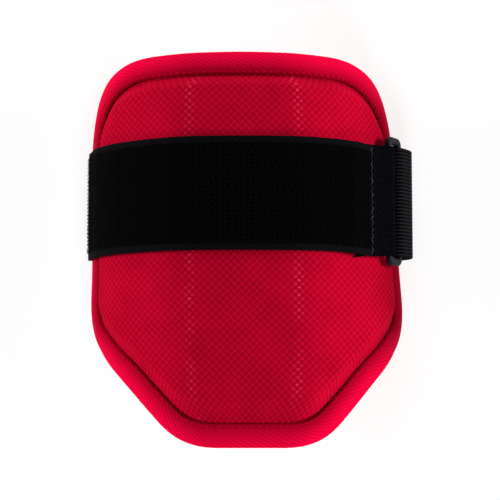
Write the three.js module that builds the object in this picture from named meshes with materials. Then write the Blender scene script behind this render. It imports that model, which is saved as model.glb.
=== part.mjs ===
// Baseball elbow guard, lying on its open side with its raised front up.
// A moulded foam pad in woven cloth is bound with tape all round its edge. An elastic strap runs
// over the front, round the left side and beneath. A tab at its other end holds a plastic ring,
// and a webbing strap from the ring goes round the right side and meets the elastic beneath.
// Millimetres. X is across the arm, Y along it and Z up. Y = 0 is the middle of the straps.
import * as THREE from 'three';

const { clamp, degToRad, lerp, smoothstep } = THREE.MathUtils;

const GAP = 0.3; // between pieces that touch
const STRAP_WIDTH = 52; // of the elastic, its tab and the webbing alike

// The pad's flat pattern, as cut before it is moulded round the arm.
// Its levels are measured along the arm from the middle of the strap.
const PATTERN = {
  top: 65.5, // at its middle
  shoulder: 64.2, // the same edge's level where its rounded corners would meet the sides
  shoulderHalfWidth: 86,
  waistHalfWidth: 87,
  waist: -31.5, // where the sides begin to flare
  lobeHalfWidth: 90.5,
  lobe: -58,
  hipHalfWidth: 57.5, // where the lower diagonals hollow a little
  hip: -84.5,
  toeHalfWidth: 29.5,
  bottom: -113.1,
  topRadius: 400,
  shoulderRadius: 46,
  waistRadius: 60,
  lobeRadius: 24,
  hipRadius: 80,
  toeRadius: 32,
  lean: 0.028, // how far the lower end stands to the right, for each millimetre along the arm
};

// The moulded pad.
const PAD = {
  edgeThickness: 5,
  raise: 8, // of the front panel above the edge
  sideRaise: 2.4, // what is left of that raise at the pad's sides
  panelHalfWidth: 22, // of the flat middle of the front panel
  footInset: 1.2, // from the binding to the foot of the raised panel
  topBevel: 6.5,
  sideBevel: 5,
  diagonalBevel: 7,
  bottomBevel: 12,
  topCurl: 130, // radius that the upper end curls to, towards the arm
  bottomCurl: 460,
  curlStart: 32, // each side of the strap's middle
  flare: 0.05, // how much of its bend the pad loses from the upper end to the lobes
};

// The pad's cross-section: its slope in degrees at shares of the half-width at the waist.
const SECTION = [
  { share: 0.0, slope: 0 },
  { share: 0.2, slope: 5 },
  { share: 0.34, slope: 20 },
  { share: 0.6, slope: 37 },
  { share: 0.84, slope: 65 },
  { share: 1.0, slope: 70 },
];

const BINDING = { width: 9, thickness: 1 };

// The elastic, with loops woven over all of it but the two selvages.
const STRAP = {
  thickness: 1.3,
  selvage: 3,
  pile: 0.6,
  seamFromCrown: 62.5, // from the crown to the seam beside the ring
  endFromMiddle: 10, // beneath the guard, where the elastic ends
};

// The tape that is folded round the ring's inner bar, with both ends sewn to the elastic.
const TAB = {
  thickness: 1.1,
  underStrap: 9, // of its inner end, past the seam
  flatStart: 2, // of its outer end, from the seam to where it lifts off towards the ring
  ramp: 6, // over which the elastic climbs on to its inner end
};

const RING = {
  width: 13,
  bar: 3.2,
  endBar: 3.6,
  endClearance: 0.9, // from a strap's edge to an end bar
  thickness: 2.8,
  rounding: 0.9,
  cornerRadius: 5.5,
  slotRadius: 1.6,
  slope: 58, // of its plane, in degrees
  barFromSeam: 11, // from the elastic's seam to the foot of its inner bar
};

// The ribbed webbing that is folded round the ring's outer bar and runs beneath the guard.
const WEBBING = {
  thickness: 1.6,
  innerLeg: 8, // of the short end behind the outer layer
  legClearance: 1.2, // between that end and the outer layer
  bulgeRadius: 12, // where it turns beneath the guard
  riseStart: 38, // from the middle, where it starts to climb over the elastic's end
  riseEnd: 15,
  endFromMiddle: -25,
};

// How finely curves are stepped.
const EDGE_STEP = 9;
const CORNER_STEP = degToRad(15);
const WRAP_STEP = degToRad(14);
const FOLD_POINTS = 7;
const INNER_RINGS = 8;

// The section at an arc length from the crown, bent by a share: how far out and down it is, and its slope.
function sectionAt(arc, bend) {
  let out = 0;
  let down = 0;
  let slope = 0;
  for (let i = 1; i < SECTION.length; i++) {
    const [start, end] = [SECTION[i - 1], SECTION[i]];
    const length = (end.share - start.share) * PATTERN.waistHalfWidth;
    const run = clamp(arc - start.share * PATTERN.waistHalfWidth, 0, length);
    const turn = degToRad(end.slope - start.slope) * bend * (run / length);
    const mean = degToRad(start.slope) * bend + turn / 2;
    const chord = turn ? (run * Math.sin(turn / 2)) / (turn / 2) : run;
    out += chord * Math.cos(mean);
    down += chord * Math.sin(mean);
    if (run > 0) slope = mean + turn / 2;
  }
  const straight = Math.max(arc - PATTERN.waistHalfWidth, 0);
  return { out: out + straight * Math.cos(slope), down: down + straight * Math.sin(slope), slope };
}

// How far the pad's ends drop towards the arm at a level, and how steeply.
function curlAt(along) {
  const radius = along > 0 ? PAD.topCurl : PAD.bottomCurl;
  const past = Math.max(Math.abs(along) - PAD.curlStart, 0);
  return { drop: (past * past) / (2 * radius), slope: (Math.sign(along) * past) / radius };
}

function bendAt(along) {
  return 1 - PAD.flare * clamp((PATTERN.top - along) / (PATTERN.top - PATTERN.lobe), 0, 1);
}

// Where a point of the flat pattern goes once the pad is moulded, at a height over its inner face.
// The inner face's crown is at Z = 0 here. The whole guard is stood on the floor at the end.
function moulded(across, along, height) {
  const { out, down, slope } = sectionAt(Math.abs(across), bendAt(along));
  const curl = curlAt(along);
  const side = across < 0 ? -1 : 1;
  const normal = new THREE.Vector3(side * Math.sin(slope), curl.slope * Math.cos(slope), Math.cos(slope));
  return new THREE.Vector3(side * out - PATTERN.lean * along, along, -down - curl.drop)
    .addScaledVector(normal.normalize(), height);
}

// The corners of the flat pattern, counter-clockwise, each with the name of the edge that leaves it.
function patternCorners() {
  const right = [
    { across: PATTERN.toeHalfWidth, along: PATTERN.bottom, radius: PATTERN.toeRadius },
    { across: PATTERN.hipHalfWidth, along: PATTERN.hip, radius: PATTERN.hipRadius },
    { across: PATTERN.lobeHalfWidth, along: PATTERN.lobe, radius: PATTERN.lobeRadius },
    { across: PATTERN.waistHalfWidth, along: PATTERN.waist, radius: PATTERN.waistRadius },
    { across: PATTERN.shoulderHalfWidth, along: PATTERN.shoulder, radius: PATTERN.shoulderRadius },
  ];
  const top = { across: 0, along: PATTERN.top, radius: PATTERN.topRadius };
  const left = right.map((corner) => ({ ...corner, across: -corner.across })).reverse();
  const rising = ['diagonal', 'diagonal', 'side', 'side', 'top'];
  const edges = [...rising, ...[...rising].reverse(), 'bottom'];
  return [...right, top, ...left].map((corner, i) => ({ ...corner, edge: edges[i] }));
}

const follow = (list, i) => list[(i + 1) % list.length];
const before = (list, i) => list[(i + list.length - 1) % list.length];

// One rounded corner between two edges that have been moved inwards.
function cornerArc(radius, inset, arriving, leaving) {
  const turn = Math.asin(arriving.direction.cross(leaving.direction));
  const way = Math.sign(turn);
  const reach = leaving.from.clone().sub(arriving.from).cross(leaving.direction) / Math.sin(turn);
  const rounded = Math.max(radius - way * inset, radius / 4);
  const start = arriving.from.clone()
    .addScaledVector(arriving.direction, reach - rounded * Math.tan(Math.abs(turn) / 2));
  const centre = start.clone().addScaledVector(arriving.inwards, way * rounded);
  const steps = Math.max(1, Math.round(Math.abs(turn) / CORNER_STEP));
  return Array.from({ length: steps + 1 }, (_, k) =>
    start.clone().rotateAround(centre, (turn * k) / steps));
}

// The pattern's outline moved inwards by an inset for each edge. All such loops match point for point.
function patternLoop(insets) {
  const corners = patternCorners();
  const edges = corners.map((corner, i) => {
    const from = new THREE.Vector2(corner.across, corner.along);
    const to = new THREE.Vector2(follow(corners, i).across, follow(corners, i).along);
    const direction = to.clone().sub(from).normalize();
    const inwards = new THREE.Vector2(-direction.y, direction.x);
    const steps = Math.max(1, Math.round(to.distanceTo(from) / EDGE_STEP));
    return { from: from.addScaledVector(inwards, insets[corner.edge]), direction, inwards, steps };
  });
  const arcs = corners.map((corner, i) => {
    const inset = (insets[corner.edge] + insets[before(corners, i).edge]) / 2;
    return cornerArc(corner.radius, inset, before(edges, i), edges[i]);
  });
  return arcs.flatMap((arc, i) => {
    const straight = Array.from({ length: edges[i].steps - 1 }, (_, k) =>
      arc.at(-1).clone().lerp(follow(arcs, i)[0], (k + 1) / edges[i].steps));
    return [...arc, ...straight];
  });
}

const evenly = (inset) => ({ top: inset, side: inset, diagonal: inset, bottom: inset });

// A closed skin through loops of points. It closes to a middle point at each end, or else back to
// the first loop. Each quad is split from its further loop, so that faces against each other match.
function skin(loops, middles) {
  const points = loops.flat();
  const count = loops[0].length;
  const indices = [];
  const bands = middles ? loops.length - 1 : loops.length;
  for (let j = 0; j < bands; j++) {
    const here = j * count;
    const next = ((j + 1) % loops.length) * count;
    for (let i = 0; i < count; i++) {
      const k = (i + 1) % count;
      const [a, b, c, d] = [here + i, next + i, next + k, here + k];
      const inwards = points[a].lengthSq() > points[b].lengthSq();
      indices.push(...(inwards ? [a, b, c, a, c, d] : [a, b, d, d, b, c]));
    }
  }
  if (middles) {
    const first = points.push(middles[0]) - 1;
    const last = points.push(middles[1]) - 1;
    const end = (loops.length - 1) * count;
    for (let i = 0; i < count; i++) {
      const k = (i + 1) % count;
      indices.push(first, i, k, last, end + k, end + i);
    }
  }
  return new THREE.BufferGeometry().setFromPoints(points).setIndex(indices);
}

// How high the pad's front stands over its inner face, once past the bevel.
function frontHeight(across) {
  const flank = PATTERN.waistHalfWidth - PAD.panelHalfWidth;
  const share = clamp((Math.abs(across) - PAD.panelHalfWidth) / flank, 0, 1);
  return PAD.edgeThickness + lerp(PAD.raise, PAD.sideRaise, share);
}

function padShell() {
  const middle = new THREE.Vector2(0, (PATTERN.top + PATTERN.bottom) / 2);
  const outline = patternLoop(evenly(0));
  const foot = BINDING.width + PAD.footInset;
  const crest = patternLoop({
    top: foot + PAD.topBevel,
    side: foot + PAD.sideBevel,
    diagonal: foot + PAD.diagonalBevel,
    bottom: foot + PAD.bottomBevel,
  });
  const covered = patternLoop(evenly(BINDING.width));
  const shrunk = (loop, share) => loop.map((p) => middle.clone().lerp(p, share));
  const front = Array.from({ length: INNER_RINGS }, (_, k) =>
    shrunk(crest, (k + 1) / INNER_RINGS).map((p) => moulded(p.x, p.y, frontHeight(p.x))));
  const rim = [patternLoop(evenly(foot)), covered, outline]
    .map((loop) => loop.map((p) => moulded(p.x, p.y, PAD.edgeThickness)));
  const inside = Array.from({ length: INNER_RINGS }, (_, k) => shrunk(covered, 1 - k / INNER_RINGS));
  const back = [outline, ...inside].map((loop) => loop.map((p) => moulded(p.x, p.y, 0)));
  const middles = [frontHeight(0), 0].map((height) => moulded(middle.x, middle.y, height));
  return skin([...front, ...rim, ...back], middles);
}

// The tape's section round the pad's edge: how far in from the edge, and how high over the inner face.
function bindingSection() {
  const far = GAP + BINDING.thickness;
  const rounded = far * Math.SQRT1_2;
  const top = PAD.edgeThickness;
  return [
    { inset: BINDING.width, height: top + GAP },
    { inset: BINDING.width, height: top + far },
    { inset: 0, height: top + far },
    { inset: -rounded, height: top + rounded },
    { inset: -far, height: top },
    { inset: -far, height: 0 },
    { inset: -rounded, height: -rounded },
    { inset: 0, height: -far },
    { inset: BINDING.width, height: -far },
    { inset: BINDING.width, height: -GAP },
    { inset: -GAP, height: -GAP },
    { inset: -GAP, height: top + GAP },
  ];
}

function edgeBinding() {
  return skin(bindingSection().map(({ inset, height }) =>
    patternLoop(evenly(inset)).map((p) => moulded(p.x, p.y, height))));
}

// The way that a strap takes round some pieces, seen along Y: their hull, with X across and Z up.
// Its stations run counter-clockwise from the crown, each with its arc length and outward direction.
function wrapLine(geometries) {
  const points = geometries.flatMap((geometry) => {
    const position = geometry.getAttribute('position');
    return Array.from({ length: position.count }, (_, i) => i)
      .filter((i) => Math.abs(position.getY(i)) < STRAP_WIDTH / 2 + EDGE_STEP)
      .map((i) => new THREE.Vector2(position.getX(i), position.getZ(i)));
  });
  points.sort((p, q) => p.x - q.x || p.y - q.y);
  const chain = (list) => list.reduce((kept, p) => {
    while (kept.length > 1 && kept.at(-1).clone().sub(kept.at(-2)).cross(p.clone().sub(kept.at(-1))) <= 0) {
      kept.pop();
    }
    kept.push(p);
    return kept;
  }, []).slice(0, -1);
  const hull = [...chain(points), ...chain([...points].reverse())];
  const crown = hull.reduce((best, p, i) => (p.y > hull[best].y ? i : best), 0);
  const ordered = hull.map((_, i) => hull[(i + crown) % hull.length]);
  const stations = [];
  let arc = 0;
  ordered.forEach((corner, i) => {
    const arriving = corner.clone().sub(before(ordered, i)).normalize();
    const leaving = follow(ordered, i).clone().sub(corner).normalize();
    const turn = Math.asin(arriving.cross(leaving));
    const steps = Math.ceil(turn / WRAP_STEP);
    for (let k = 0; k <= steps; k++) {
      const heading = arriving.angle() + (turn * k) / steps;
      const out = new THREE.Vector2(Math.sin(heading), -Math.cos(heading));
      stations.push({ arc, at: corner.clone().addScaledVector(out, GAP), out });
    }
    arc += corner.distanceTo(follow(ordered, i));
  });
  return { stations, length: arc };
}

// The station at an arc length along a wrap line. Lengths below zero are on the right of the crown.
function stationAt(line, arc) {
  const wanted = arc < 0 ? arc + line.length : arc;
  const index = line.stations.findIndex((station) => station.arc > wanted);
  const next = index < 0 ? { ...line.stations[0], arc: line.length } : line.stations[index];
  const last = index < 0 ? line.stations.at(-1) : line.stations[index - 1];
  const share = (wanted - last.arc) / (next.arc - last.arc);
  const at = last.at.clone().lerp(next.at, share);
  return { arc, at, out: last.out.clone().lerp(next.out, share).normalize() };
}

// All the stations from one arc length to a greater one.
function stationsBetween(line, from, to) {
  const inside = [-line.length, 0]
    .flatMap((turn) => line.stations.map((station) => ({ ...station, arc: station.arc + turn })))
    .filter((station) => station.arc > from && station.arc < to);
  return [stationAt(line, from), ...inside, stationAt(line, to)];
}

// Stations along a drawn path, each facing to the right of the way that it runs.
function pathStations(points) {
  return points.map((at, i) => {
    const [last, next] = [points[Math.max(i - 1, 0)], points[Math.min(i + 1, points.length - 1)]];
    const way = next.clone().sub(last).normalize();
    return { at, out: new THREE.Vector2(way.y, -way.x) };
  });
}

// A flat strap swept along stations, with a lift of its own at each.
function strapAlong(stations, section, liftAt = () => 0) {
  const loops = stations.map((station) => section.map(({ across, lift }) => {
    const point = station.at.clone().addScaledVector(station.out, lift + liftAt(station.arc));
    return new THREE.Vector3(point.x, across, point.y);
  }));
  const middles = [loops[0], loops.at(-1)]
    .map((loop) => loop.reduce((sum, p) => sum.add(p), new THREE.Vector3()).divideScalar(loop.length));
  return skin(loops, middles);
}

function tapeSection(thickness) {
  const edge = STRAP_WIDTH / 2;
  return [
    { across: edge, lift: 0 },
    { across: -edge, lift: 0 },
    { across: -edge, lift: -thickness },
    { across: edge, lift: -thickness },
  ];
}

const pad = padShell();
const binding = edgeBinding();
const line = wrapLine([pad, binding]);
const underside = Math.min(...line.stations.map((station) => station.at.y));
const floor = underside - STRAP.thickness - STRAP.pile;

// The elastic, from its seam on the right flank, over the front and round the left side to its end beneath.
function frontStrap() {
  const edge = STRAP_WIDTH / 2;
  const field = edge - STRAP.selvage;
  const high = STRAP.thickness + STRAP.pile;
  const section = [
    { across: edge, lift: STRAP.thickness },
    { across: field, lift: STRAP.thickness },
    { across: field, lift: high },
    { across: -field, lift: high },
    { across: -field, lift: STRAP.thickness },
    { across: -edge, lift: STRAP.thickness },
    { across: -edge, lift: 0 },
    { across: edge, lift: 0 },
  ];
  const beneath = line.stations.find((station) => station.at.y < underside + GAP);
  const end = beneath.arc + STRAP.endFromMiddle - beneath.at.x;
  const tabEnd = -STRAP.seamFromCrown + TAB.underStrap;
  const liftAt = (arc) => (TAB.thickness + GAP) * (1 - smoothstep(arc, tabEnd, tabEnd + TAB.ramp));
  return strapAlong(stationsBetween(line, -STRAP.seamFromCrown, end), section, liftAt);
}

const barFromCrown = STRAP.seamFromCrown + RING.barFromSeam;
const barFoot = stationAt(line, -barFromCrown);
const foldRadius = RING.bar / 2 + GAP;
const ringWay = new THREE.Vector2(1, 0).rotateAround(new THREE.Vector2(), -degToRad(RING.slope));
const ringOut = new THREE.Vector2(-ringWay.y, ringWay.x);
const innerBar = barFoot.at.clone().addScaledVector(barFoot.out, TAB.thickness + foldRadius);
const outerBar = innerBar.clone().addScaledVector(ringWay, RING.width - RING.bar);

// Where a straight run from a point meets a fold round a bar that lies on its right.
function tangentPoint(from, bar) {
  const towards = bar.clone().sub(from);
  const distance = towards.length();
  const reach = Math.sqrt(distance * distance - foldRadius * foldRadius);
  return towards.rotateAround(new THREE.Vector2(), Math.asin(foldRadius / distance))
    .setLength(reach).add(from);
}

// A clockwise fold round a bar, from where the path now stands to where it faces a direction.
function foldRound(path, bar, start, finish) {
  const from = start.clone().sub(bar).angle();
  path.absarc(bar.x, bar.y, foldRadius, from, finish.angle(), true);
}

// The tab's path is its face towards the bar: down the outside, round the bar and back up the inside.
function ringTab() {
  const seam = -STRAP.seamFromCrown - GAP;
  const lifted = (station, lift) => station.at.clone().addScaledVector(station.out, lift);
  const start = lifted(stationAt(line, seam), TAB.thickness + GAP);
  const lifts = lifted(stationAt(line, seam - TAB.flatStart), TAB.thickness + GAP);
  const meets = tangentPoint(lifts, innerBar);
  const path = new THREE.Path().moveTo(start.x, start.y).lineTo(lifts.x, lifts.y).lineTo(meets.x, meets.y);
  foldRound(path, innerBar, meets, barFoot.out.clone().negate());
  stationsBetween(line, -barFromCrown, -STRAP.seamFromCrown + TAB.underStrap).slice(1)
    .map((station) => lifted(station, TAB.thickness))
    .forEach((point) => path.lineTo(point.x, point.y));
  return strapAlong(pathStations(path.getPoints(FOLD_POINTS)), tapeSection(TAB.thickness));
}

function strapRing() {
  const slot = STRAP_WIDTH + 2 * RING.endClearance;
  const shape = roundedRectangle(new THREE.Shape(), RING.width - 2 * RING.rounding,
    slot + 2 * RING.endBar - 2 * RING.rounding, RING.cornerRadius - RING.rounding);
  shape.holes.push(roundedRectangle(new THREE.Path(), RING.width - 2 * RING.bar + 2 * RING.rounding,
    slot + 2 * RING.rounding, RING.slotRadius + RING.rounding));
  const depth = RING.thickness - 2 * RING.rounding;
  const ring = new THREE.ExtrudeGeometry(shape, {
    depth,
    bevelThickness: RING.rounding,
    bevelSize: RING.rounding,
    bevelSegments: 2,
    curveSegments: 5,
  });
  return ring.translate(0, 0, -depth / 2);
}

function roundedRectangle(path, width, length, radius) {
  const corners = [[1, -1], [1, 1], [-1, 1], [-1, -1]];
  corners.forEach(([right, up], i) => {
    const [x, y] = [right * (width / 2 - radius), up * (length / 2 - radius)];
    const start = ((i - 1) * Math.PI) / 2;
    path.absarc(x, y, radius, start, start + Math.PI / 2, false);
  });
  return path.closePath();
}

// The webbing's path is its face towards the bar: up the short inner leg, round the bar, down the
// outside, round to the floor and over the elastic's end.
function rearStrap() {
  const top = floor + WEBBING.thickness;
  const overStrap = floor + STRAP.pile + STRAP.thickness + GAP + WEBBING.thickness;
  const slope = degToRad(RING.slope);
  const leaves = outerBar.clone().addScaledVector(ringOut, foldRadius);
  const turnDrop = WEBBING.bulgeRadius * (1 + Math.cos(slope));
  const straight = (leaves.y - top - turnDrop) / Math.sin(slope);
  const bends = leaves.clone().addScaledVector(ringWay, straight);
  const centre = bends.clone().addScaledVector(ringOut, -WEBBING.bulgeRadius);
  const legEnd = outerBar.clone().addScaledVector(ringWay, WEBBING.innerLeg)
    .addScaledVector(ringOut, foldRadius - WEBBING.legClearance);
  const meets = tangentPoint(legEnd, outerBar);
  const path = new THREE.Path().moveTo(legEnd.x, legEnd.y).lineTo(meets.x, meets.y);
  foldRound(path, outerBar, meets, ringOut);
  path.lineTo(bends.x, bends.y);
  path.absarc(centre.x, centre.y, WEBBING.bulgeRadius, ringOut.angle(), -Math.PI / 2, true);
  const halfRise = (WEBBING.riseStart + WEBBING.riseEnd) / 2;
  path.lineTo(WEBBING.riseStart, top);
  path.bezierCurveTo(halfRise, top, halfRise, overStrap, WEBBING.riseEnd, overStrap);
  path.lineTo(WEBBING.endFromMiddle, overStrap);
  return strapAlong(pathStations(path.getPoints(FOLD_POINTS)), tapeSection(WEBBING.thickness));
}

const guard = new THREE.Group();
guard.position.z = -floor;

function add(name, geometry, look) {
  const piece = new THREE.Mesh(geometry, new THREE.MeshStandardMaterial(look));
  piece.name = name;
  guard.add(piece);
  return piece;
}

add('pad_shell', pad, { color: 0xb8001f, roughness: 0.75 });
add('edge_binding', binding, { color: 0xc80028, roughness: 0.7 });
add('front_strap', frontStrap(), { color: 0x0b0b0d, roughness: 0.95 });
add('ring_tab', ringTab(), { color: 0x08080a, roughness: 1 });
add('rear_strap', rearStrap(), { color: 0x111114, roughness: 0.8 });
const ring = add('strap_ring', strapRing(), { color: 0x23262c, roughness: 0.35 });
const ringMiddle = innerBar.clone().add(outerBar).divideScalar(2);
ring.position.set(ringMiddle.x, 0, ringMiddle.y);
ring.rotation.y = degToRad(RING.slope);

export default guard;
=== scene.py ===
"""Baseball elbow guard: a moulded pad in red woven nylon with a bound edge, and a black elastic strap that
closes through a plastic ring. It lies on a pale floor and is seen from above."""

import math

import bmesh
import bpy
import numpy as np
from mathutils import Matrix, Vector


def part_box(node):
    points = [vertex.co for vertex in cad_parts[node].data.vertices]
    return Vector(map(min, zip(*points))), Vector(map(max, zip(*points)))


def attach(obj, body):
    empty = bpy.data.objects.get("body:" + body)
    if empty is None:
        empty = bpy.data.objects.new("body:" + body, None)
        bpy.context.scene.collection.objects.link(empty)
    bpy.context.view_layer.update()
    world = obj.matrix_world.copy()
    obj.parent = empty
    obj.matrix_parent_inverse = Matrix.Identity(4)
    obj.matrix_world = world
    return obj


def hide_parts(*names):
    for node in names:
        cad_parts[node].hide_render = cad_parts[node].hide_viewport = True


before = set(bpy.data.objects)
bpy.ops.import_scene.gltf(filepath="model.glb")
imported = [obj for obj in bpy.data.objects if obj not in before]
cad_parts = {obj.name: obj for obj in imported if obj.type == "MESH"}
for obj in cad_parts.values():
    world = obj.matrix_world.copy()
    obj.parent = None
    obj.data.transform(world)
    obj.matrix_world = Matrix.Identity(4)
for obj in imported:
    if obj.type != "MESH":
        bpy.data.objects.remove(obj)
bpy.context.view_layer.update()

# The pad is foam, heat-moulded with a raised front panel and covered with coarse plain-woven nylon.
# Cloth and foam are moulded together, so the weave follows every bevel. Its edge is thinner, for the binding.
MM = 0.001
MERGE = 0.002 * MM
pairing_angle = math.radians(60)
bevel_angle = math.radians(24)
bevel_crease = 0.8
pad_subdivisions = 2
pad_roll_radius = 70 * MM
pad_roll_centre = -12 * MM

thread_pitch = 1.68
thread_roundness = 0.6
thread_contrast = 0.68
fibre_scale = 1.6
patch_scale = 0.06
fleck_scale = 1.1
patch_contrast = 0.5
patch_shift = -0.19
pad_red = (0.48, 0.001, 0.021, 1)
pad_red_deep = (0.17, 0.0, 0.006, 1)
pad_roughness = 0.95
pad_relief = 0.14
thread_height = 0.25 * MM
cloth_gloss = 0.015

# Along the two edges between the panel's facets, pale glints of light are painted on the threads that lie on
# top, here and there: painted highlights.
facet_edge = 24.4
facet_edge_width = 3.2
glint_patches = (0.3833, 0.55)
glinting_fibres = (0.4714, 0.6143)
top_threads = (0.5, 1.0)
painted_glint_red = (0.80, 0.055, 0.12, 1)


def select_only(piece):
    bpy.ops.object.select_all(action="DESELECT")
    piece.select_set(True)
    bpy.context.view_layer.objects.active = piece


def copy_of(node, name):
    """A merged copy of a node's shape, in quads where its triangles pair up, open in edit mode."""
    piece = bpy.data.objects.new(name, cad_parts[node].data.copy())
    bpy.context.scene.collection.objects.link(piece)
    select_only(piece)
    piece.data.materials.clear()
    bpy.ops.object.mode_set(mode="EDIT")
    bpy.ops.mesh.select_all(action="SELECT")
    bpy.ops.mesh.customdata_custom_splitnormals_clear()
    bpy.ops.mesh.remove_doubles(threshold=MERGE)
    bpy.ops.mesh.tris_convert_to_quads(face_threshold=pairing_angle, shape_threshold=pairing_angle)
    return piece


def select_edges(piece, sharper_than):
    """In edit mode, selects only the edges whose faces turn by more than an angle."""
    bpy.ops.mesh.select_all(action="DESELECT")
    bpy.ops.mesh.select_mode(type="EDGE")
    mesh = bmesh.from_edit_mesh(piece.data)
    for edge in mesh.edges:
        if len(edge.link_faces) == 2 and edge.calc_face_angle() > sharper_than:
            edge.select_set(True)
    mesh.select_flush_mode()
    bmesh.update_edit_mesh(piece.data)


def apply_modifier(piece, kind, **settings):
    select_only(piece)
    modifier = piece.modifiers.new(kind.lower(), kind)
    for name, value in settings.items():
        setattr(modifier, name, value)
    bpy.ops.object.modifier_apply(modifier=modifier.name)


def smooth(piece, levels):
    apply_modifier(piece, "SUBSURF", levels=levels, render_levels=levels)
    bpy.ops.object.shade_smooth()


def points_of(piece):
    flat = np.empty(len(piece.data.vertices) * 3)
    piece.data.vertices.foreach_get("co", flat)
    return flat.reshape(-1, 3)


def lay_cloth_map(piece, flat_places):
    """Gives the piece a UV map that holds, for each vertex, where it is on the flat cloth, in millimetres."""
    cloth = piece.data.uv_layers.get("cloth") or piece.data.uv_layers.new(name="cloth")
    corners = np.empty(len(piece.data.loops), dtype=int)
    piece.data.loops.foreach_get("vertex_index", corners)
    cloth.data.foreach_set("uv", (flat_places[corners] / MM).ravel())


def finish_piece(piece, material, slot, *nodes):
    piece.data.materials.clear()
    piece.data.materials.append(material)
    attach(piece, "root")
    if nodes:
        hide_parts(*nodes)


def wire(tree, kind, inputs=None, **settings):
    """Adds a node with its settings. An input is either a value or another node's output."""
    node = tree.nodes.new(kind)
    for name, value in settings.items():
        setattr(node, name, value)
    for name, value in (inputs or {}).items():
        if isinstance(value, bpy.types.NodeSocket):
            tree.links.new(value, node.inputs[name])
        else:
            node.inputs[name].default_value = value
    return node


def maths(tree, operation, *values):
    return wire(tree, "ShaderNodeMath", dict(enumerate(values)), operation=operation).outputs[0]


def wave_share(tree, wave):
    """Turns a wave between -1 and 1 into one between 0 and 1."""
    return maths(tree, "MULTIPLY_ADD", wave, 0.5, 0.5)


def ramp(tree, value, start, end):
    """Goes from 0 at the start to 1 at the end, and stays level outside them."""
    return wire(tree, "ShaderNodeMapRange", {"Value": value, "From Min": start, "From Max": end}).outputs[0]


def noise(tree, place, scale, detail=2.0, roughness=0.5):
    inputs = {"Vector": place, "Scale": scale, "Detail": detail, "Roughness": roughness}
    return wire(tree, "ShaderNodeTexNoise", inputs).outputs[0]


def axes_of(tree, vector):
    return wire(tree, "ShaderNodeSeparateXYZ", {0: vector}).outputs


def cloth_map(tree):
    return wire(tree, "ShaderNodeUVMap", uv_map="cloth").outputs[0]


def blended(tree, share, low, high):
    """A colour between two. The Mix node takes the share at socket 0 and the colours at 6 and 7."""
    return wire(tree, "ShaderNodeMix", {0: share, 6: low, 7: high}, data_type="RGBA").outputs[2]


def dye(tree, shader, share, low, high):
    tree.links.new(blended(tree, share, low, high), shader.inputs["Base Color"])


def emboss(tree, shader, pattern, strength, height):
    bump = wire(tree, "ShaderNodeBump", {"Height": pattern, "Strength": strength, "Distance": height})
    tree.links.new(bump.outputs[0], shader.inputs["Normal"])


def new_group(name, inputs, outputs):
    """A shader node group. An input without a value of its own is a vector, and every other one a number."""
    group = bpy.data.node_groups.new(name, "ShaderNodeTree")
    for label, value in inputs.items():
        kind = "NodeSocketVector" if value is None else "NodeSocketFloat"
        socket = group.interface.new_socket(label, in_out="INPUT", socket_type=kind)
        if value is not None:
            socket.default_value = value
    for label in outputs:
        group.interface.new_socket(label, in_out="OUTPUT", socket_type="NodeSocketFloat")
    return group, wire(group, "NodeGroupInput").outputs, wire(group, "NodeGroupOutput").inputs


def place_group(tree, group, inputs):
    return wire(tree, "ShaderNodeGroup", inputs, node_tree=group).outputs


def new_material(name, **shader_values):
    """A material with its Principled shader's plain values set. Returns it, its tree and the shader."""
    material = bpy.data.materials.new(name)
    material.use_nodes = True
    shader = material.node_tree.nodes["Principled BSDF"]
    for label, value in shader_values.items():
        shader.inputs[label.replace("_", " ")].default_value = value
    return material, material.node_tree, shader


def plain_weave():
    """Threads that go over and under each other. Warp says where the lengthwise threads are on top."""
    group, given, result = new_group("plain weave", {"Cloth": None, "Pitch": 1.0},
                                     ["Height", "Warp", "Fibre"])
    place = axes_of(group, given["Cloth"])
    waves = []
    for axis in ("X", "Y"):
        turns = maths(group, "DIVIDE", maths(group, "MULTIPLY", place[axis], math.pi), given["Pitch"])
        waves.append(maths(group, "SINE", turns))
    crossing = maths(group, "MULTIPLY", *waves)
    rounded = maths(group, "POWER", maths(group, "ABSOLUTE", crossing), thread_roundness)
    group.links.new(rounded, result["Height"])
    group.links.new(wave_share(group, crossing), result["Warp"])
    group.links.new(noise(group, given["Cloth"], fibre_scale, detail=1.0), result["Fibre"])
    return group


woven = plain_weave()


def pad_material():
    material, tree, shader = new_material("red woven nylon", Roughness=pad_roughness,
                                          Specular_IOR_Level=cloth_gloss)
    cloth = cloth_map(tree)
    weave = place_group(tree, woven, {"Cloth": cloth, "Pitch": thread_pitch})
    patches = noise(tree, cloth, patch_scale)
    flecks = noise(tree, cloth, fleck_scale)
    uneven = maths(tree, "MULTIPLY_ADD", maths(tree, "ADD", flecks, patches), patch_contrast, patch_shift)
    tone = maths(tree, "MULTIPLY_ADD", weave["Warp"], thread_contrast, uneven)
    # Painted highlights: pale glints on the top threads, in a band along each facet edge and only where the
    # patches allow.
    from_edge = maths(tree, "SUBTRACT", maths(tree, "ABSOLUTE", axes_of(tree, cloth)["X"]), facet_edge)
    glint_band = maths(tree, "MULTIPLY", ramp(tree, maths(tree, "ABSOLUTE", from_edge), facet_edge_width, 0.0),
                     ramp(tree, patches, *glint_patches))
    glints = maths(tree, "MULTIPLY", ramp(tree, weave["Warp"], *top_threads),
                   ramp(tree, weave["Fibre"], *glinting_fibres))
    dyed = blended(tree, tone, pad_red_deep, pad_red)
    dye(tree, shader, maths(tree, "MULTIPLY", glint_band, glints), dyed, painted_glint_red)
    emboss(tree, shader, weave["Height"], pad_relief, thread_height)
    return material


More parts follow.
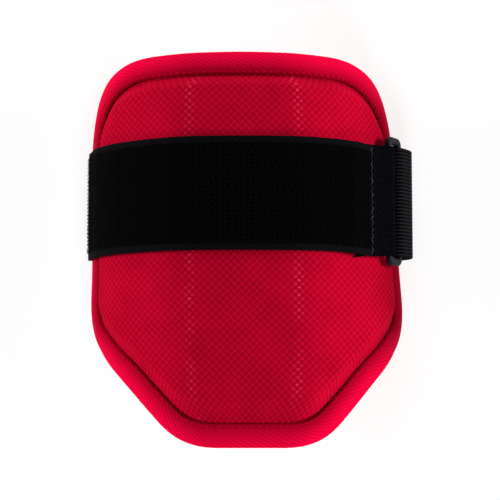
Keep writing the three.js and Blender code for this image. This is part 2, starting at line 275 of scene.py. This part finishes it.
pad = copy_of("pad_shell", "pad")
select_edges(pad, bevel_angle)
bpy.ops.transform.edge_crease(value=bevel_crease)
bpy.ops.object.mode_set(mode="OBJECT")
smooth(pad, pad_subdivisions)
pad_points = points_of(pad)
pad_angle = np.arctan2(pad_points[:, 0], pad_points[:, 2] - pad_roll_centre)
lay_cloth_map(pad, np.column_stack([pad_angle * pad_roll_radius, pad_points[:, 1]]))
finish_piece(pad, pad_material(), "pad_cloth", "pad_shell")

# The binding is a woven twill tape, folded round the pad's edge and sewn through both of its sides.
# It is drawn tight, so it rounds over the edge, and its stitches hold its borders down on the foam.
tape_thickness = 0.9 * MM
tape_dome = 0.7 * MM
tape_fullness = 0.7
tape_overhang = 9 * MM
tape_reach = 0.6 * MM
tape_rows = 8
tape_overlap = 2
tape_steps_along = 460
tape_steps_across = 34
tape_probe = 0.4 * MM
stitch_pitch = 3.1 * MM
stitch_from_edge = 0.9 * MM
stitch_pull = 0.65 * MM
stitch_slack = 0.45
stitch_groove = 1.2 * MM
rib_pitch = 1.75
rib_lean = math.radians(30)
rib_relief = 0.35
rib_height = 0.25 * MM
binding_red = (0.96, 0.001, 0.054, 1)
binding_red_deep = (0.68, 0.0, 0.033, 1)
binding_roughness = 0.9
# Painted shade: the tape is coloured darker near one of its borders, fading out over 12 mm of its width.
painted_shade_red = (0.36, 0.0, 0.016, 1)
painted_shade_width = 12.0


def walk_on(vert, edge):
    """The vertices of a closed ring, met by going straight on wherever four edges meet."""
    found = [vert]
    while True:
        vert = edge.other_vert(vert)
        if vert == found[0]:
            return found
        found.append(vert)
        edge = next(e for e in vert.link_edges if not set(e.link_faces) & set(edge.link_faces))


def tube_grid(piece):
    """The points of a tube's mesh, as [place along, place round]. Neighbours in the mesh stay neighbours."""
    mesh = bmesh.new()
    mesh.from_mesh(piece.data)
    first = max(mesh.verts, key=lambda vert: (vert.co.z, vert.co.y))
    ways = sorted(first.link_edges, key=lambda edge: len(walk_on(first, edge)))
    spine = walk_on(first, ways[-1])
    rounds = []
    for i, vert in enumerate(spine):
        beside = {spine[i - 1], spine[(i + 1) % len(spine)]}
        turns = [walk_on(vert, edge) for edge in vert.link_edges if edge.other_vert(vert) not in beside]
        if rounds:
            linked = {edge.other_vert(rounds[-1][1]) for edge in rounds[-1][1].link_edges}
            turns.sort(key=lambda turn: turn[1] not in linked)
        rounds.append(turns[0])
    grid = np.array([[vert.co[:] for vert in turn] for turn in rounds])
    mesh.free()
    return grid


def lengths_along(points):
    return np.concatenate([[0], np.cumsum(np.linalg.norm(np.diff(points, axis=0), axis=1))])


def unit(ways):
    return ways / np.linalg.norm(ways, axis=1)[:, None]


def smooth_through(marks, points, wanted):
    """Points on a smooth curve that passes each given point at its mark."""
    slopes = np.gradient(points, marks, axis=0)
    last = np.clip(np.searchsorted(marks, wanted, side="right") - 1, 0, len(marks) - 2)
    span = (marks[last + 1] - marks[last])[:, None]
    t = ((wanted - marks[last])[:, None]) / span
    rise = t * t * (3 - 2 * t)
    lead = t * (1 - t) * ((1 - t) * slopes[last] - t * slopes[last + 1]) * span
    return points[last] * (1 - rise) + points[last + 1] * rise + lead


def flat_cloth(name, length, width, steps_along, steps_across):
    """A flat rectangle of cloth that starts at X = 0 and has Y = 0 in its middle, with its cloth map."""
    bpy.ops.object.select_all(action="DESELECT")
    bpy.ops.mesh.primitive_grid_add(x_subdivisions=steps_along, y_subdivisions=steps_across, size=1)
    piece = bpy.context.object
    piece.name = name
    bpy.ops.object.mode_set(mode="EDIT")
    bpy.ops.transform.resize(value=(length, width, 1))
    bpy.ops.transform.translate(value=(length / 2, 0, 0))
    bpy.ops.object.mode_set(mode="OBJECT")
    piece.data.uv_layers.remove(piece.data.uv_layers[0])
    lay_cloth_map(piece, points_of(piece)[:, :2])
    return piece


def move_points(piece, points):
    piece.data.vertices.foreach_set("co", points.ravel())
    piece.data.update()


def twill_ribs():
    """Ridges that cross a tape at a slant. The tape's length is X and its width Y."""
    group, given, result = new_group("twill", {"Cloth": None, "Pitch": 1.0, "Lean": 0.5}, ["Height"])
    turned = wire(group, "ShaderNodeVectorRotate", {"Vector": given["Cloth"], "Angle": given["Lean"]},
                  rotation_type="Z_AXIS").outputs[0]
    whole_turns = maths(group, "MULTIPLY", axes_of(group, turned)["Y"], 2 * math.pi)
    ridges = maths(group, "SINE", maths(group, "DIVIDE", whole_turns, given["Pitch"]))
    group.links.new(wave_share(group, ridges), result["Height"])
    return group


twill = twill_ribs()


def binding_material():
    material, tree, shader = new_material("red twill tape", Roughness=binding_roughness,
                                          Specular_IOR_Level=cloth_gloss)
    cloth = cloth_map(tree)
    ribs = place_group(tree, twill, {"Cloth": cloth, "Pitch": rib_pitch, "Lean": rib_lean})
    # Painted shade: darkest at the border where the cloth map's Y is zero, reaching the tape's own ribbed red
    # 12 mm in.
    out_of_painted_shade = maths(tree, "DIVIDE", maths(tree, "ABSOLUTE", axes_of(tree, cloth)["Y"]), painted_shade_width)
    ribbed_red = blended(tree, ribs["Height"], binding_red_deep, binding_red)
    dye(tree, shader, out_of_painted_shade, painted_shade_red, ribbed_red)
    emboss(tree, shader, ribs["Height"], rib_relief, rib_height)
    return material


guide = copy_of("edge_binding", "binding_guide")
bpy.ops.object.mode_set(mode="OBJECT")
guide_grid = tube_grid(guide)
bpy.data.objects.remove(guide)
tape_faces = guide_grid[:, -np.arange(tape_rows)]
tape_gaps = np.linalg.norm(np.diff(tape_faces, axis=1), axis=2).mean(axis=0)
tape_marks = np.concatenate([[0], np.cumsum(tape_gaps)])
tape_width = tape_marks[-1] + 2 * tape_reach
closed_faces = np.concatenate([tape_faces[-tape_overlap:], tape_faces, tape_faces[:tape_overlap]])
closed_marks = lengths_along(closed_faces[:, 1])
tape_start = closed_marks[tape_overlap]
tape_length = closed_marks[-tape_overlap] - tape_start
rib_advance = rib_pitch * MM / math.sin(rib_lean)
rib_count = round(tape_length / rib_advance)
stitch_count = round(tape_length / stitch_pitch)


def tape_surface(along, across):
    """Places on the CAD binding's outside, which goes on straight past its borders."""
    rows = np.stack([smooth_through(closed_marks, closed_faces[:, row], tape_start + along % tape_length)
                     for row in range(tape_rows)], axis=1)
    last = np.clip(np.searchsorted(tape_marks, across, side="right") - 1, 0, tape_rows - 2)
    share = ((across - tape_marks[last]) / (tape_marks[last + 1] - tape_marks[last]))[:, None]
    every = np.arange(len(across))
    return rows[every, last] * (1 - share) + rows[every, last + 1] * share


def on_tape(along, across, height):
    """Where points of the flat tape go once it is folded over the edge, and the ways ahead and out there."""
    place = tape_surface(along, across)
    ahead = unit(tape_surface(along + tape_probe, across) - tape_surface(along - tape_probe, across))
    over = tape_surface(along, across + tape_probe) - tape_surface(along, across - tape_probe)
    out = np.cross(over, ahead)
    out *= np.sign((out * (place - guide_grid.mean(axis=(0, 1)) * [1, 1, 0])).sum(axis=1))[:, None]
    out = unit(out)
    return place + out * height[:, None], ahead, out


def tape_height(along, across):
    """The tape's dome on each side of the edge, and how far the stitches pull its borders down."""
    from_edge = tape_reach + np.minimum(across, tape_marks[-1] - across)
    dome = tape_dome * np.sin(math.pi * np.clip(from_edge / tape_overhang, 0, 1)) ** tape_fullness
    between = 0.5 - 0.5 * np.cos(2 * math.pi * along / tape_length * stitch_count)
    groove = np.exp(-(np.maximum(from_edge - stitch_from_edge, 0) / stitch_groove) ** 2)
    return dome - groove * stitch_pull * (1 - stitch_slack * between)


binding = flat_cloth("binding", tape_length, tape_width, tape_steps_along, tape_steps_across)
tape_along, tape_across = (points_of(binding)[:, :2] + [0, tape_marks[-1] / 2]).T
whole_ribs = rib_count * rib_advance / tape_length
lay_cloth_map(binding, np.column_stack([tape_along * whole_ribs, tape_across]))
tape_places = on_tape(tape_along, tape_across, tape_height(tape_along, tape_across))[0]
move_points(binding, tape_places)
select_only(binding)
bpy.ops.object.mode_set(mode="EDIT")
bpy.ops.mesh.select_all(action="SELECT")
bpy.ops.mesh.remove_doubles(threshold=MERGE)
bpy.ops.mesh.normals_make_consistent(inside=False)
bpy.ops.object.mode_set(mode="OBJECT")
apply_modifier(binding, "SOLIDIFY", thickness=tape_thickness, offset=-1)
bpy.ops.object.shade_smooth()
finish_piece(binding, binding_material(), "binding_tape", "edge_binding")

# The binding's stitches are red thread. One row goes through the tape and the pad's edge, so it shows on
# the front and on the back. Each stitch is thinner at its ends, where it goes into the tape.
stitch_length = 2.3 * MM
stitch_radius = 0.3 * MM
stitch_sides = 6
stitch_red = (0.50, 0.0, 0.022, 1)
stitch_roughness = 0.8


def sowing():
    """Geometry nodes that put a copy of one small shape at every point, turned as the point says."""
    group = bpy.data.node_groups.new("copies at points", "GeometryNodeTree")
    group.interface.new_socket("Points", in_out="INPUT", socket_type="NodeSocketGeometry")
    group.interface.new_socket("Shape", in_out="INPUT", socket_type="NodeSocketObject")
    group.interface.new_socket("Copies", in_out="OUTPUT", socket_type="NodeSocketGeometry")
    given = wire(group, "NodeGroupInput").outputs
    shape = wire(group, "GeometryNodeObjectInfo", {"Object": given["Shape"]})
    turn = wire(group, "GeometryNodeInputNamedAttribute", {"Name": "turn"}, data_type="FLOAT_VECTOR")
    turned = wire(group, "FunctionNodeEulerToRotation", {0: turn.outputs[0]})
    copies = wire(group, "GeometryNodeInstanceOnPoints", {
        "Points": given["Points"], "Instance": shape.outputs["Geometry"], "Rotation": turned.outputs[0]})
    real = wire(group, "GeometryNodeRealizeInstances", {0: copies.outputs[0]})
    wire(group, "NodeGroupOutput", {0: real.outputs[0]})
    return group


sow = sowing()


def sown(name, shape, places, turns):
    """One mesh of copies of a small shape, which is then removed."""
    mesh = bpy.data.meshes.new(name)
    mesh.from_pydata(places.tolist(), [], [])
    mesh.attributes.new("turn", "FLOAT_VECTOR", "POINT").data.foreach_set("vector", turns.ravel())
    piece = bpy.data.objects.new(name, mesh)
    bpy.context.scene.collection.objects.link(piece)
    select_only(piece)
    modifier = piece.modifiers.new("sow", "NODES")
    modifier.node_group = sow
    modifier[sow.interface.items_tree["Shape"].identifier] = shape
    bpy.ops.object.modifier_apply(modifier=modifier.name)
    bpy.data.objects.remove(shape)
    bpy.ops.object.shade_smooth()
    return piece


def stitch_shape(length, radius):
    """A short bar of thread along X, thinner at its ends."""
    bpy.ops.object.select_all(action="DESELECT")
    bpy.ops.mesh.primitive_uv_sphere_add(segments=stitch_sides, ring_count=stitch_sides, radius=radius)
    bpy.ops.object.mode_set(mode="EDIT")
    bpy.ops.transform.rotate(value=math.pi / 2, orient_axis="Y", center_override=(0, 0, 0))
    bpy.ops.transform.resize(value=(length / 2 / radius, 1, 1))
    bpy.ops.object.mode_set(mode="OBJECT")
    return bpy.context.object


def facing(ahead, out):
    """The turns that point X ahead and Z outwards, as Euler angles."""
    side = unit(np.cross(out, ahead))
    up = np.cross(ahead, side)
    frames = np.stack([ahead, side, up], axis=2)
    return np.array([Matrix(turn.tolist()).to_euler()[:] for turn in frames])


stitch_along = (np.arange(stitch_count) + 0.5) * tape_length / stitch_count
stitch_places = []
stitch_turns = []
for row_place in (stitch_from_edge - tape_reach, tape_marks[-1] + tape_reach - stitch_from_edge):
    across = np.full(stitch_count, row_place)
    places, ahead, out = on_tape(stitch_along, across, tape_height(stitch_along, across) + stitch_radius / 2)
    stitch_places.append(places)
    stitch_turns.append(facing(ahead, out))
stitches = sown("binding_stitches", stitch_shape(stitch_length, stitch_radius),
                np.concatenate(stitch_places), np.concatenate(stitch_turns))
red_thread = new_material("red thread", Base_Color=stitch_red, Roughness=stitch_roughness,
                          Specular_IOR_Level=cloth_gloss)[0]
finish_piece(stitches, red_thread, "binding_tape")

# The elastic is two inches wide, with loops woven over all of it but the selvages. It is stretched from its
# seam beside the ring over the front and round the left side, and ends beneath.
strap_width = 52 * MM
strap_border_angle = math.radians(50)
strap_sag = 1.1 * MM
strap_sag_from = 22 * MM
course_step = 0.6 * MM
course_window = 2
square_corner = 0.5
elastic_thickness = 1.3 * MM
elastic_selvage = 3 * MM
elastic_steps = (320, 52)
elastic_pitch = 0.9
elastic_relief = 0.6
elastic_thread_height = 0.15 * MM
elastic_roughness = 0.8
selvage_black = (0.005, 0.005, 0.0065, 1)
ground_black = (0.0005, 0.0005, 0.0007, 1)


def evened(points, step, window):
    """The same line with points a step apart, each the mean of a few neighbours."""
    marks = lengths_along(points)
    wanted = np.linspace(0, marks[-1], round(marks[-1] / step) + 1)
    line = np.column_stack([np.interp(wanted, marks, points[:, axis]) for axis in (0, 1)])
    longer = np.concatenate([2 * line[0] - line[window:0:-1], line, 2 * line[-1] - line[-2:-2 - window:-1]])
    mean = np.ones(2 * window + 1) / (2 * window + 1)
    return np.column_stack([np.convolve(longer[:, axis], mean, "valid") for axis in (0, 1)])


def nearest_on(line, points):
    """For each point, the nearest place on a line of straight stretches."""
    along = np.diff(line, axis=0)
    offsets = points[:, None] - line[:-1]
    squares = np.maximum((along ** 2).sum(axis=1), np.finfo(float).tiny)
    share = np.clip((offsets * along).sum(axis=2) / squares, 0, 1)
    places = line[:-1] + share[..., None] * along
    closest = np.linalg.norm(places - points[:, None], axis=2).argmin(axis=1)
    return places[np.arange(len(points)), closest]


def side_outline(node):
    """The rim of a strap node's side face, seen along Y, as points in order round it."""
    mesh = bmesh.new()
    mesh.from_mesh(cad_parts[node].data)
    bmesh.ops.remove_doubles(mesh, verts=mesh.verts, dist=MERGE)
    edge = max(vert.co.y for vert in mesh.verts) - MERGE
    side = {face for face in mesh.faces if min(vert.co.y for vert in face.verts) > edge}
    links = {}
    for rim in mesh.edges:
        if len(side & set(rim.link_faces)) == 1:
            for vert in rim.verts:
                links.setdefault(vert, []).append(rim.other_vert(vert))
    first = next(iter(links))
    outline = [first, links[first][0]]
    while len(outline) < len(links):
        outline.append(next(vert for vert in links[outline[-1]] if vert != outline[-2]))
    points = np.array([vert.co.xz[:] for vert in outline])
    mesh.free()
    return points


def course_of(node):
    """The way that a strap's node takes, seen along Y: marks along it, the middle of its thickness, and out.
    Each end of the strap has two square corners in a row, and the way starts at the upper end."""
    outline = side_outline(node)
    ways = unit(np.roll(outline, -1, axis=0) - outline)
    corner = (ways * np.roll(ways, 1, axis=0)).sum(axis=1) < square_corner
    ends = np.flatnonzero(corner & np.roll(corner, -1))
    outline = np.roll(outline, -ends[0] - 1, axis=0)
    cut = ends[1] - ends[0]
    one, other = outline[:cut], outline[cut:]
    if one[0, 1] < one[-1, 1]:
        one, other = one[::-1], other[::-1]
    if np.linalg.norm(one[0]) < np.linalg.norm(other[-1]):
        one, other = other[::-1], one[::-1]
    outer = evened(one, course_step, course_window)
    inner = nearest_on(other, outer)
    middle = (outer + inner) / 2
    return {"marks": lengths_along(middle), "middle": middle, "out": outer - inner}


def lay_along(course, points):
    """Bends flat points along a course: X becomes the way along it and Z the height over its middle."""
    middle = smooth_through(course["marks"], course["middle"], points[:, 0])
    out = unit(smooth_through(course["marks"], course["out"], points[:, 0]))
    bent = middle + out * points[:, 2:]
    return np.column_stack([bent[:, 0], points[:, 1], bent[:, 1]])


def sagged(flat):
    """The pull of the ring draws the end of the elastic a little to one side."""
    share = np.clip(1 - flat[:, 0] / strap_sag_from, 0, 1)
    return flat - np.outer(share * share * (3 - 2 * share) * strap_sag, [0, 1, 0])


def strap(name, course, thickness, steps, shaped):
    """A strap with its thickness, given its shape while it is flat and then laid along its course."""
    piece = flat_cloth(name, course["marks"][-1], strap_width, *steps)
    apply_modifier(piece, "SOLIDIFY", thickness=thickness, offset=0)
    move_points(piece, lay_along(course, shaped(points_of(piece))))
    return piece


def elastic_material():
    material, tree, shader = new_material("black elastic", Roughness=elastic_roughness,
                                          Specular_IOR_Level=cloth_gloss)
    cloth = cloth_map(tree)
    weave = place_group(tree, woven, {"Cloth": cloth, "Pitch": elastic_pitch})
    from_middle = maths(tree, "ABSOLUTE", axes_of(tree, cloth)["Y"])
    on_selvage = maths(tree, "GREATER_THAN", from_middle, (strap_width / 2 - elastic_selvage) / MM)
    dye(tree, shader, maths(tree, "MULTIPLY", weave["Warp"], on_selvage), ground_black, selvage_black)
    emboss(tree, shader, weave["Height"], elastic_relief, elastic_thread_height)
    return material


elastic_course = course_of("front_strap")
elastic_length = elastic_course["marks"][-1]
elastic = strap("elastic", elastic_course, elastic_thickness, elastic_steps, sagged)
bpy.ops.object.shade_smooth_by_angle(angle=strap_border_angle)
finish_piece(elastic, elastic_material(), "pile_elastic", "front_strap")

# The elastic's loops are fine black nylon, woven in with it in pairs, in columns across it and rows along it.
# They stand up from its outside, a little out of line, and leave its selvages and its sewn end free.
loop_columns = 2.75 * MM
loop_rows = 1.8 * MM
loop_size = 0.62 * MM
loop_thread = 0.17 * MM
loop_sides = 5
loop_thread_sides = 3
pair_gap = 0.21
pair_step = 0.12
loop_scatter = 0.12 * MM
loop_spread = 0.35
loop_seed = 11
loop_black = (0.003, 0.0028, 0.0038, 1)
loop_roughness = 0.6
loop_gloss = 0.03
seam_from_end = 0.6 * MM
strap_probe = 0.2 * MM


def on_course(course, flat, yaw):
    """Where small shapes sewn to a strap go, and their turns. A yaw of zero points them across the strap."""
    place = lay_along(course, flat)
    ahead = unit(lay_along(course, flat + [strap_probe, 0, 0]) - place)
    out = unit(lay_along(course, flat + [0, 0, strap_probe]) - place)
    side = np.cross(out, ahead)
    return place, facing(ahead * np.sin(yaw)[:, None] + side * np.cos(yaw)[:, None], out)


loop_random = np.random.default_rng(loop_seed)
loop_field = strap_width / 2 - elastic_selvage
column_places = np.arange(seam_from_end + loop_columns, elastic_length - loop_columns / 2, loop_columns)
row_places = np.arange(-loop_field + loop_rows / 2, loop_field, loop_rows)
grid_along, grid_across = np.meshgrid(column_places, row_places, indexing="ij")
outer_face = np.full(grid_along.size, elastic_thickness / 2)
loop_pairs = []
for side in (-1, 1):
    pair_along = grid_along.ravel() + side * loop_columns * pair_gap
    pair_across = grid_across.ravel() + side * loop_rows * pair_step
    loop_pairs.append(np.column_stack([pair_along, pair_across, outer_face]))
loop_flat = np.concatenate(loop_pairs)
loop_flat[:, :2] += loop_random.normal(0, loop_scatter, (len(loop_flat), 2))
loop_yaw = loop_random.normal(0, loop_spread, len(loop_flat))
loop_places, loop_turns = on_course(elastic_course, sagged(loop_flat), loop_yaw)
bpy.ops.object.select_all(action="DESELECT")
bpy.ops.mesh.primitive_torus_add(major_segments=loop_sides, minor_segments=loop_thread_sides,
                                 major_radius=loop_size, minor_radius=loop_thread,
                                 rotation=(math.pi / 2, 0, 0))
bpy.ops.object.transform_apply(location=False, rotation=True, scale=False)
loops = sown("elastic_loops", bpy.context.object, loop_places, loop_turns)
black_loops = new_material("black loops", Base_Color=loop_black, Roughness=loop_roughness,
                           Specular_IOR_Level=loop_gloss)[0]
finish_piece(loops, black_loops, "pile_elastic")

# A zigzag seam in grey thread holds the tab to the end of the elastic. It is sewn across the whole strap, and
# the thread is worn darker in places.
seam_pitch = 1.6 * MM
seam_lean = math.radians(34)
seam_length = 2.2 * MM
seam_radius = 0.2 * MM
seam_wear_scale = 350.0
fleck_range = (0.3667, 0.7)
seam_grey = (0.075, 0.075, 0.085, 1)
seam_grey_deep = (0.006, 0.006, 0.007, 1)
seam_roughness = 0.6
seam_gloss = 0.1


def object_place(tree):
    return wire(tree, "ShaderNodeTexCoord").outputs["Object"]


def seam_material():
    material, tree, shader = new_material("grey thread", Roughness=seam_roughness,
                                          Specular_IOR_Level=seam_gloss)
    wear = noise(tree, object_place(tree), seam_wear_scale)
    dye(tree, shader, ramp(tree, wear, *fleck_range), seam_grey_deep, seam_grey)
    return material


seam_count = round(strap_width / seam_pitch) - 1
seam_flat = np.zeros((seam_count, 3))
seam_flat[:, 0] = seam_from_end
seam_flat[:, 1] = (np.arange(seam_count) - (seam_count - 1) / 2) * seam_pitch
seam_flat[:, 2] = elastic_thickness / 2 + seam_radius / 2
seam_yaw = seam_lean * (-1.0) ** np.arange(seam_count)
seam_places, seam_turns = on_course(elastic_course, sagged(seam_flat), seam_yaw)
seam = sown("tab_seam", stitch_shape(seam_length, seam_radius), seam_places, seam_turns)
finish_piece(seam, seam_material(), "velour_tape")

# The tab is velour tape, folded round the ring's inner bar, with both of its ends sewn to the elastic.
# Its upper end, which shows, has frayed a little wider than the strap.
tab_thickness = 1.1 * MM
tab_steps = (60, 40)
tab_fray = 5 * MM
tab_fray_width = 0.04
pile_scale = 0.9
pile_detail = 4.0
pile_coarseness = 0.7
pile_relief = 0.9
pile_height = 0.4 * MM
pile_sheen = 0.002
velour_black = (0.0034, 0.0032, 0.005, 1)
velour_black_deep = (0.0003, 0.0003, 0.0004, 1)
velour_roughness = 0.95


def frayed(flat):
    """Widens the tab's upper end, at X = 0, and draws both its ends to one side with the elastic."""
    flat[:, 1] *= 1 + tab_fray_width * np.sqrt(np.clip(1 - flat[:, 0] / tab_fray, 0, 1))
    flat[:, 1] -= strap_sag * np.abs(2 * flat[:, 0] / tab_length - 1)
    return flat


def velour_material():
    material, tree, shader = new_material("black velour", Roughness=velour_roughness,
                                          Specular_IOR_Level=cloth_gloss, Sheen_Weight=pile_sheen)
    pile = noise(tree, cloth_map(tree), pile_scale, pile_detail, pile_coarseness)
    dye(tree, shader, ramp(tree, pile, *fleck_range), velour_black_deep, velour_black)
    emboss(tree, shader, pile, pile_relief, pile_height)
    return material


tab_course = course_of("ring_tab")
tab_length = tab_course["marks"][-1]
tab = strap("ring_tab_tape", tab_course, tab_thickness, tab_steps, frayed)
bpy.ops.object.shade_smooth_by_angle(angle=strap_border_angle)
finish_piece(tab, velour_material(), "velour_tape", "ring_tab")

# The webbing is woven with ribs along it. It is folded round the ring's outer bar and runs round the right
# side and beneath, over the end of the elastic.
webbing_thickness = 1.6 * MM
webbing_ribs = 31
webbing_steps = (130, 2 * webbing_ribs)
webbing_valley = 0.4 * MM
webbing_rib_sharpness = 4.0
webbing_yarn = 1.2
webbing_lean = math.radians(50)
yarn_relief = 0.6
yarn_height = 0.2 * MM
webbing_black = (0.020, 0.0195, 0.027, 1)
webbing_yarn_and_valley_shade = (0.0003, 0.0003, 0.0004, 1)
webbing_roughness = 0.6


def ribbed(flat):
    """Sinks every other row of points, on both faces, so that the ribs stand between them."""
    row = np.rint((flat[:, 1] / strap_width + 0.5) * 2 * webbing_ribs)
    flat[:, 2] -= np.sign(flat[:, 2]) * webbing_valley * (1 - row % 2)
    return flat


def webbing_material():
    material, tree, shader = new_material("black ribbed webbing", Roughness=webbing_roughness,
                                          Specular_IOR_Level=cloth_gloss)
    cloth = cloth_map(tree)
    yarns = place_group(tree, twill, {"Cloth": cloth, "Pitch": webbing_yarn, "Lean": webbing_lean})
    # The valleys between the ribs are painted nearly black, as painted shade on top of their real depth. On
    # the ribs, the slanted yarns of the twill are the webbing's own pattern.
    turns = maths(tree, "MULTIPLY", axes_of(tree, cloth)["Y"], math.pi * webbing_ribs * MM / strap_width)
    across_rib = maths(tree, "ABSOLUTE", maths(tree, "COSINE", turns))
    rib = maths(tree, "POWER", across_rib, webbing_rib_sharpness)
    tone = maths(tree, "MULTIPLY", rib, wave_share(tree, yarns["Height"]))
    dye(tree, shader, tone, webbing_yarn_and_valley_shade, webbing_black)
    emboss(tree, shader, yarns["Height"], yarn_relief, yarn_height)
    return material


webbing_course = course_of("rear_strap")
webbing = strap("webbing", webbing_course, webbing_thickness, webbing_steps, ribbed)
smooth(webbing, 1)
finish_piece(webbing, webbing_material(), "webbing", "rear_strap")

# The ring is a slot ring moulded in dark plastic, with rounded corners and edges. The tab holds its inner bar
# and the webbing its outer one.
ring_bar = 3.2 * MM
ring_end_bar = 3.6 * MM
ring_width = 13 * MM
ring_length = 61 * MM
ring_thickness = 2.8 * MM
ring_corner = 3.6 * MM
ring_corner_steps = 6
ring_rounding = 0.95 * MM
ring_rounding_steps = 4
ring_edge_angle = math.radians(60)
ring_slope = math.radians(58)
ring_grey = (0.0042, 0.0045, 0.0075, 1)
ring_roughness = 0.5
ring_gloss = 0.1
grain_scale = 2500.0
grain_relief = 0.25
grain_height = 0.05 * MM


def plastic_material():
    material, tree, shader = new_material("dark moulded plastic", Base_Color=ring_grey,
                                          Roughness=ring_roughness, Specular_IOR_Level=ring_gloss)
    emboss(tree, shader, noise(tree, object_place(tree), grain_scale), grain_relief, grain_height)
    return material


bpy.ops.object.select_all(action="DESELECT")
bpy.ops.mesh.primitive_plane_add(size=1)
ring = bpy.context.object
ring.name = "strap_ring_moulding"
bpy.ops.object.mode_set(mode="EDIT")
bpy.ops.transform.resize(value=(ring_width, ring_length, 1))
bpy.ops.mesh.bevel(affect="VERTICES", offset=ring_corner, segments=ring_corner_steps)
bpy.ops.mesh.select_mode(type="FACE")
bpy.ops.mesh.select_all(action="SELECT")
bpy.ops.mesh.inset(thickness=ring_bar, use_even_offset=True)
slot_share = (ring_length - 2 * ring_end_bar) / (ring_length - 2 * ring_bar)
bpy.ops.transform.resize(value=(1, slot_share, 1))
bpy.ops.mesh.delete(type="FACE")
bpy.ops.mesh.select_all(action="SELECT")
bpy.ops.mesh.extrude_region_move(TRANSFORM_OT_translate={"value": (0, 0, ring_thickness)})
bpy.ops.mesh.select_all(action="SELECT")
bpy.ops.mesh.normals_make_consistent(inside=False)
bpy.ops.transform.translate(value=(0, 0, -ring_thickness / 2))
select_edges(ring, ring_edge_angle)
bpy.ops.mesh.bevel(offset=ring_rounding, segments=ring_rounding_steps)
bpy.ops.mesh.select_all(action="SELECT")
bpy.ops.transform.rotate(value=-ring_slope, orient_axis="Y", center_override=(0, 0, 0))
ring_low, ring_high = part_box("strap_ring")
bpy.ops.transform.translate(value=(ring_low + ring_high) / 2)
bpy.ops.object.mode_set(mode="OBJECT")
bpy.ops.object.shade_smooth()
finish_piece(ring, plastic_material(), "ring_plastic", "strap_ring")

# The guard lies on a plain pale studio floor. It is lit through, so that it stays white and keeps only a
# trace of the guard's shadow.
floor_size = 3.0
floor_grey = (0.35, 0.35, 0.35, 1)
floor_roughness = 0.9
floor_glow = 0.76
white = (1, 1, 1, 1)

bpy.ops.object.select_all(action="DESELECT")
bpy.ops.mesh.primitive_plane_add(size=floor_size)
floor = bpy.context.object
floor.name = "floor"
pale_floor = new_material("pale floor", Base_Color=floor_grey, Roughness=floor_roughness,
                          Emission_Color=white, Emission_Strength=floor_glow)[0]
floor.data.materials.append(pale_floor)

# Two matt black cards stand on the floor beside the guard, one on each side and out of the picture. They keep
# the low light off its steep edges.
card_length = 0.3
card_forward = -0.02
card_distance = 0.17
right_card_height = 0.05
left_card_height = 0.03
card_black = (0.01, 0.01, 0.01, 1)
card_roughness = 1.0

matt_card = new_material("black card", Base_Color=card_black, Roughness=card_roughness)[0]
for card_place, card_height in ((card_distance, right_card_height), (-card_distance, left_card_height)):
    bpy.ops.mesh.primitive_plane_add(size=1, location=(card_place, card_forward, card_height / 2))
    card = bpy.context.object
    card.name = "card"
    card.scale = (card_height, card_length, 1)
    card.rotation_euler = (0, math.pi / 2, 0)
    card.data.materials.append(matt_card)
    card.visible_camera = False

# Four round softboxes stand low round the guard, one on each side, so its flanks are brighter than its front.
# A faint white light from all round fills what they leave dark.
side_box_size = 0.36
end_box_size = 0.5
fill_strength = 0.16


def soft_light(name, place, size, power):
    """A round light that faces the guard."""
    bpy.ops.object.light_add(type="AREA", location=place)
    light = bpy.context.object
    light.name = name
    light.data.shape = "DISK"
    light.data.size = size
    light.data.energy = power
    light.rotation_euler = (-Vector(place)).to_track_quat("-Z", "Y").to_euler()


soft_light("right softbox", place=(1.0, 0.1, 0.24), size=side_box_size, power=14.7)
soft_light("left softbox", place=(-1.0, 0.15, 0.22), size=side_box_size, power=10.8)
soft_light("far softbox", place=(0, 1.0, 0.3), size=end_box_size, power=6.1)
soft_light("near softbox", place=(0.1, -0.9, 0.6), size=end_box_size, power=7.3)

world = bpy.data.worlds.new("studio")
bpy.context.scene.world = world
world.use_nodes = True
background = world.node_tree.nodes["Background"]
background.inputs["Color"].default_value = white
background.inputs["Strength"].default_value = fill_strength

# The camera looks almost straight down on the guard, from a little towards its lower end. It has a long
# lens, shifted a little so that the guard stands in the middle of the picture.
camera_distance = 0.7
camera_elevation = math.radians(84.5)
camera_focus = Vector((0, -23.7 * MM, 25 * MM))
camera_lens = 106.4
camera_film = 36
camera_shift = (0.0122, 0.004)

bpy.ops.object.camera_add()
camera = bpy.context.object
towards_camera = Vector((0, -math.cos(camera_elevation), math.sin(camera_elevation)))
camera.location = camera_focus + towards_camera * camera_distance
camera.rotation_euler = (math.pi / 2 - camera_elevation, 0, 0)
camera.data.lens = camera_lens
camera.data.sensor_width = camera_film
camera.data.shift_x, camera.data.shift_y = camera_shift
bpy.context.scene.camera = camera
bpy.context.scene.view_settings.view_transform = "Standard"
